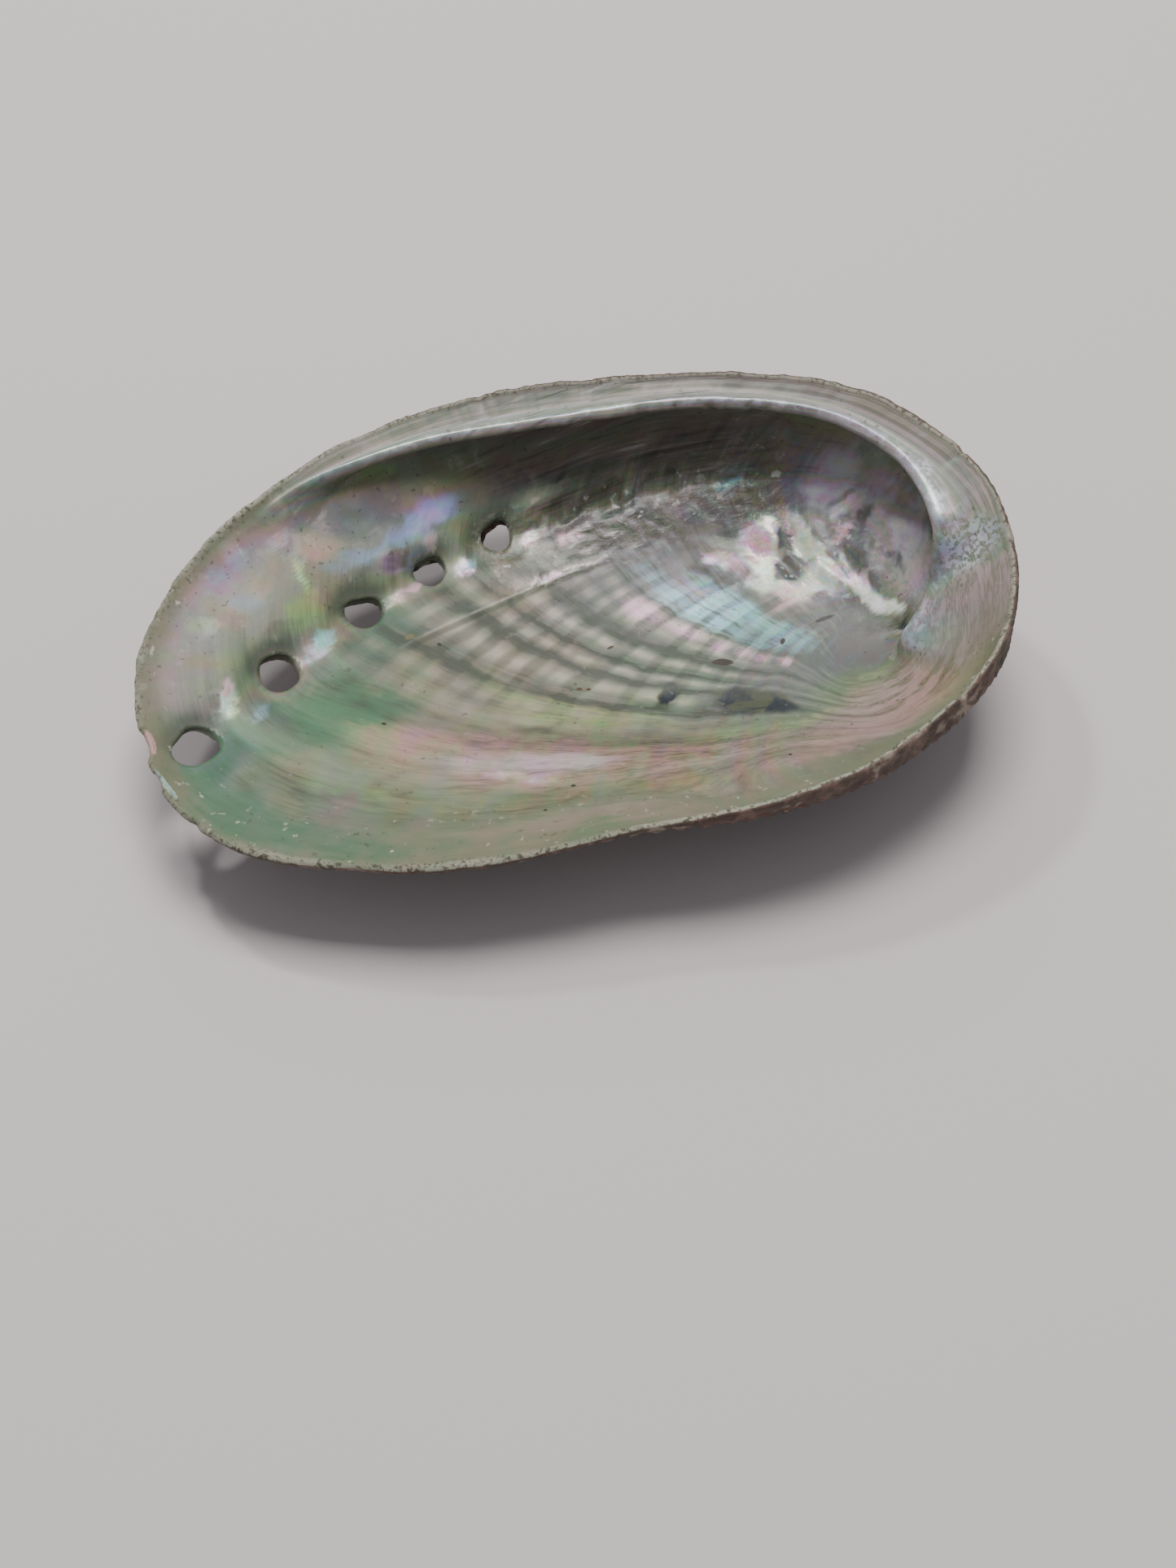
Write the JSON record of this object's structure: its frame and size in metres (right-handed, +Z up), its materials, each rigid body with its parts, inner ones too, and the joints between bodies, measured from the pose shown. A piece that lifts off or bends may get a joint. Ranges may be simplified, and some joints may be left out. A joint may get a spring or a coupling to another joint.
{
  "type": "abalone shell",
  "caption": "Empty ear-shaped abalone shell lying open side up: a shallow pearly bowl with a row of breathing holes, a low spire and a ledge inside one rim.",
  "frame": {"origin": "middle of the shell's length and width, on the surface it rests on", "axes": "+X along the length toward the spire end, +Y toward the side with the ledge, +Z up out of the open side"},
  "size_m": [0.111, 0.0726, 0.0247],
  "materials": {
    "shell": "polished mother of pearl inside, rough outside"
  },
  "bodies": {
    "root": {"shell": "shell"}
  },
  "joints": []
}
